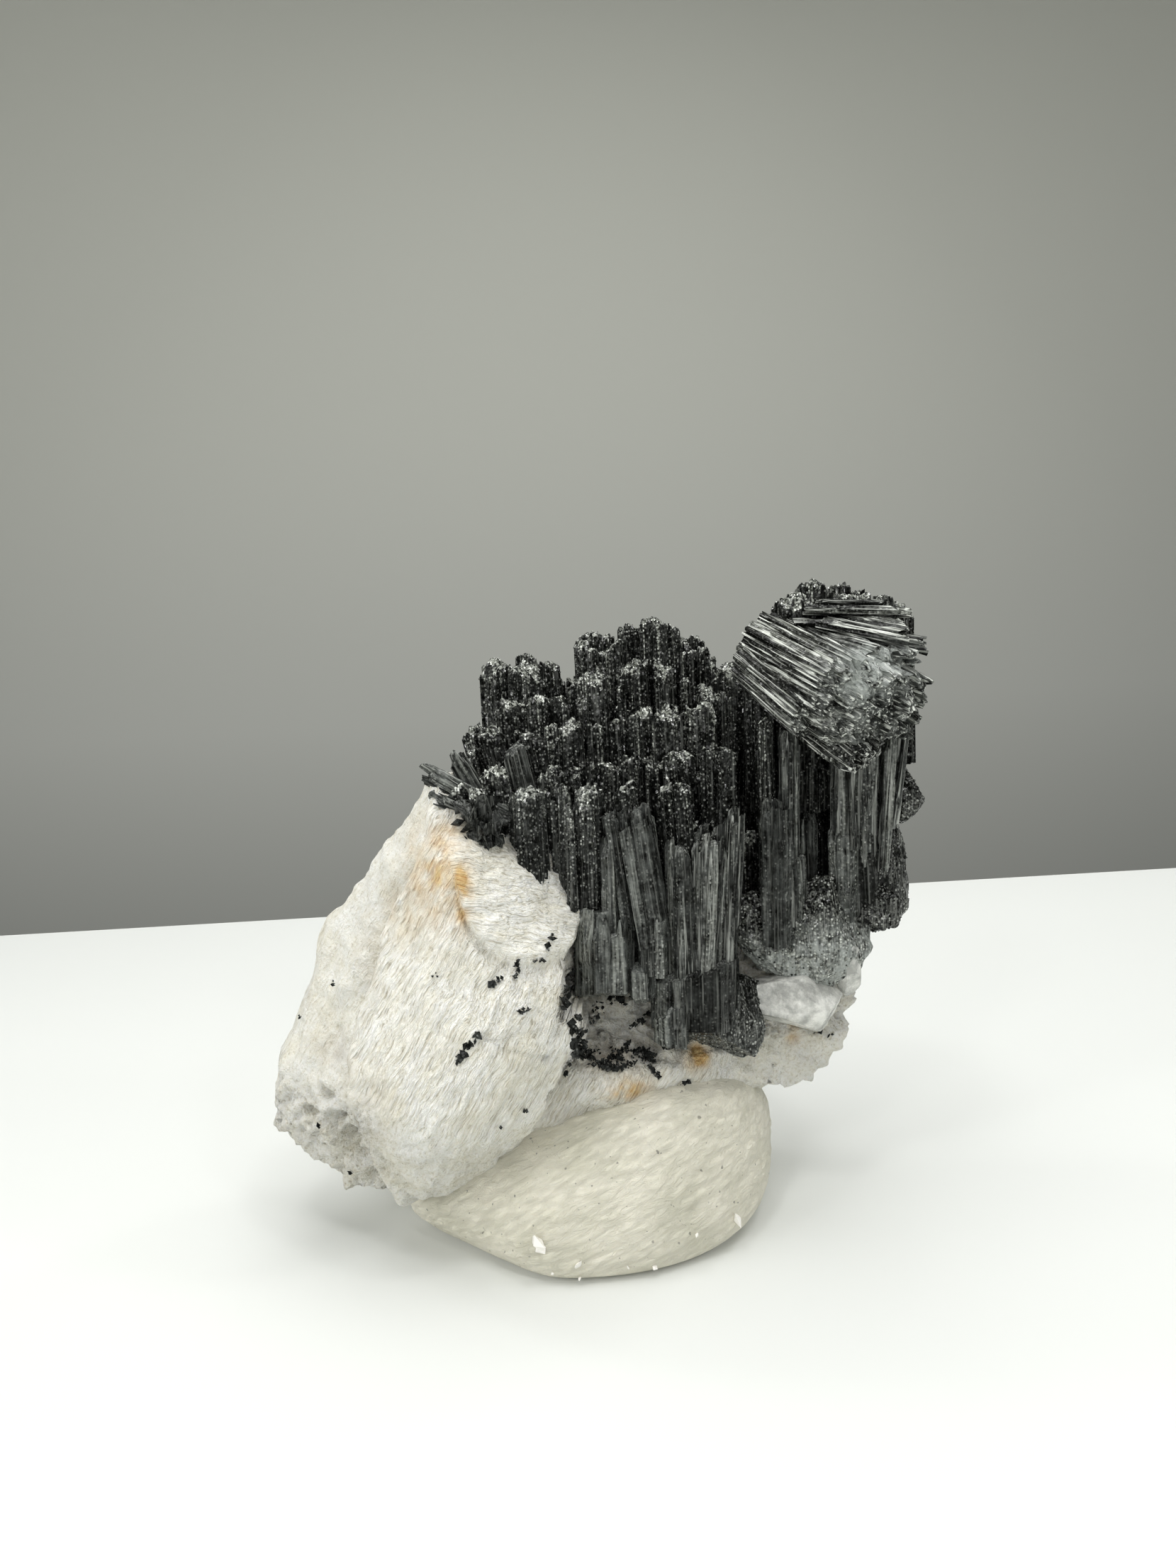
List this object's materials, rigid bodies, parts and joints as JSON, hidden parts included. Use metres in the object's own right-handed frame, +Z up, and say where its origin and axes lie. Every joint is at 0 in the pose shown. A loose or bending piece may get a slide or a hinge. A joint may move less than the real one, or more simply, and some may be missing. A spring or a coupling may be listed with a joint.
{
  "type": "schorl crystal specimen",
  "caption": "Black striated schorl crystals grown as a stepped cluster on white fibrous feldspar, standing in a blob of mounting putty.",
  "frame": {"origin": "middle of the footprint of the whole specimen, on the plane the putty stands on", "axes": "+Z up, -Y towards the side that shows the cluster best, +X to the right seen from that side, towards the overhanging head"},
  "size_m": [0.0296, 0.0148, 0.028],
  "materials": {
    "schorl": "vitreous, striated, with pitted sparkling ends",
    "quartz": "clear to smoky grey, glassy",
    "feldspar": "fibrous, matt to silky, with ochre stains",
    "putty": "matt, with fine creases"
  },
  "bodies": {
    "root": {"schorl_cluster": "schorl", "quartz_grain": "quartz", "feldspar_matrix": "feldspar", "mounting_putty": "putty"}
  },
  "joints": []
}
